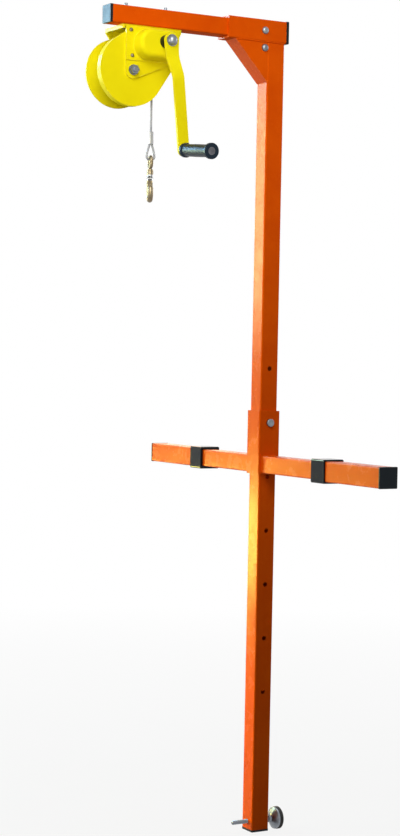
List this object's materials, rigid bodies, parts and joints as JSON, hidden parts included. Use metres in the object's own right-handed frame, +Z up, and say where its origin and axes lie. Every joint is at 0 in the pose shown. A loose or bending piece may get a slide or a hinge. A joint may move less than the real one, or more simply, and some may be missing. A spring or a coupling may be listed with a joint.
{
  "type": "hand winch crane",
  "caption": "Wall-hung hand winch crane: square mast with sliding arm, geared brake winch with wire rope and swivel hook, telescopic crossbar and a screw foot.",
  "frame": {"origin": "on the mast's axis, level with the undersides of the crossbar's two collars, where the crane rests", "axes": "+X out along the arm away from the wall, +Y along the crossbar, +Z up the mast"},
  "size_m": [0.507, 1.004, 1.8815],
  "materials": {
    "orange_paint": "glossy orange powder coat",
    "yellow_paint": "glossy yellow powder coat",
    "black_plastic": "smooth black moulded plastic",
    "zinc_steel": "bright zinc-plated steel",
    "rubber": "matt black rubber",
    "bronze": "plain bronze",
    "lining": "matt friction lining",
    "rope_steel": "galvanised wire rope",
    "aluminium": "pressed aluminium",
    "yellow_zinc": "yellow-passivated forged steel"
  },
  "bodies": {
    "stand": {"mast_tube": "orange_paint", "mast_bottom_plug": "black_plastic", "head_gusset": "orange_paint", "arm_sleeve": "orange_paint", "sleeve_end_cap": "black_plastic", "arm_lock_bolt": "zinc_steel", "gusset_rivet": "zinc_steel", "foot_nut": "zinc_steel", "carriage_sleeve": "orange_paint", "carriage_pin": "zinc_steel", "pin_clip": "zinc_steel", "crossbar_stub_left": "orange_paint", "crossbar_stub_right": "orange_paint"},
    "foot_pad": {"foot_disc": "zinc_steel", "foot_rubber": "rubber"},
    "foot_rod": {"foot_screw": "zinc_steel"},
    "left_extension": {"extension_tube_left": "orange_paint", "extension_cap_left": "black_plastic", "lock_collar_left": "black_plastic", "collar_screw_left": "zinc_steel"},
    "right_extension": {"extension_tube_right": "orange_paint", "extension_cap_right": "black_plastic", "lock_collar_right": "black_plastic", "collar_screw_right": "zinc_steel"},
    "boom": {"arm_tube": "orange_paint", "arm_end_plug": "black_plastic", "winch_bolts": "zinc_steel", "winch_nuts": "zinc_steel", "winch_frame": "yellow_paint", "gear_guard": "yellow_paint", "brake_cover": "yellow_paint", "cover_screws": "yellow_zinc", "crank_bush": "black_plastic", "drum_axle": "zinc_steel", "drum_axle_nut": "zinc_steel", "pinion_bushes": "bronze", "ratchet_wheel": "zinc_steel", "pawl_pin": "zinc_steel", "pawl_spring": "zinc_steel"},
    "winding_drum": {"drum_gear": "zinc_steel", "drum": "yellow_paint", "drum_bush": "bronze", "rope_core": "rope_steel", "rope_winding": "rope_steel"},
    "crank": {"pinion_shaft": "zinc_steel", "brake_disc": "zinc_steel", "friction_linings": "lining", "crank_hub": "zinc_steel", "crank_arm": "yellow_paint", "crank_bolt": "zinc_steel", "grip_spindle": "zinc_steel"},
    "grip": {"crank_grip": "black_plastic"},
    "pawl_lever": {"pawl": "zinc_steel"},
    "rope_end": {"rope_fall": "rope_steel", "rope_ferrule": "aluminium", "rope_eye": "rope_steel", "hook_bow": "yellow_zinc"},
    "hook": {"hook_body": "yellow_zinc", "latch_pin": "zinc_steel"},
    "latch": {"hook_latch": "yellow_zinc"}
  },
  "joints": [
    {"name": "arm_slide", "type": "slide", "parent": "stand", "child": "boom", "axis": [1, 0, 0], "range_m": [0, 0.06]},
    {"name": "drum_turn", "type": "hinge", "parent": "boom", "child": "winding_drum", "pos_m": [0.365, 0, 0.901], "axis": [0, 1, 0], "range_deg": [-1080, 30]},
    {"name": "crank_turn", "type": "hinge", "parent": "boom", "child": "crank", "pos_m": [0.30207, 0, 0.96393], "axis": [0, 1, 0], "range_deg": [-128.06, 4575.12]},
    {"name": "hook_hoist", "type": "slide", "parent": "boom", "child": "rope_end", "axis": [0, 0, 1], "range_m": [-1.132, 0.0324], "deforming": ["rope_fall"]},
    {"name": "grip_spin", "type": "hinge", "parent": "crank", "child": "grip", "pos_m": [0.27771, 0.092, 0.72417], "axis": [-0.0099, 0.9952, -0.0971], "continuous": true},
    {"name": "pawl_lift", "type": "hinge", "parent": "boom", "child": "pawl_lever", "pos_m": [0.33607, 0, 0.94193], "axis": [0, 1, 0], "range_deg": [0, 14], "stiffness_Nm_per_rad": 0.05, "springref_deg": -11.46},
    {"name": "hook_swivel", "type": "hinge", "parent": "rope_end", "child": "hook", "pos_m": [0.305, -0.0095, 0.68], "axis": [0, 0, 1], "continuous": true},
    {"name": "latch_open", "type": "hinge", "parent": "hook", "child": "latch", "pos_m": [0.30191, -0.01644, 0.6688], "axis": [-0.9135, 0.4067, 0], "range_deg": [0, 28], "stiffness_Nm_per_rad": 0.03, "springref_deg": -17.19},
    {"name": "foot_slide", "type": "slide", "parent": "stand", "child": "foot_pad", "axis": [-1, 0, 0], "range_m": [-0.003, 0.015]},
    {"name": "foot_turn", "type": "hinge", "parent": "foot_pad", "child": "foot_rod", "pos_m": [0, 0, -0.8075], "axis": [-1, 0, 0], "range_deg": [-740, 3660]},
    {"name": "left_slide", "type": "slide", "parent": "stand", "child": "left_extension", "axis": [0, -1, 0], "range_m": [-0.05, 0.08]},
    {"name": "right_slide", "type": "slide", "parent": "stand", "child": "right_extension", "axis": [0, 1, 0], "range_m": [-0.05, 0.08]}
  ],
  "couplings": [
    {"joint": "crank_turn", "follows": "drum_turn", "ratio": -4.2353},
    {"joint": "hook_hoist", "follows": "drum_turn", "m_per_rad": 0.06},
    {"joint": "foot_turn", "follows": "foot_slide", "rad_per_m": 4188.8}
  ]
}
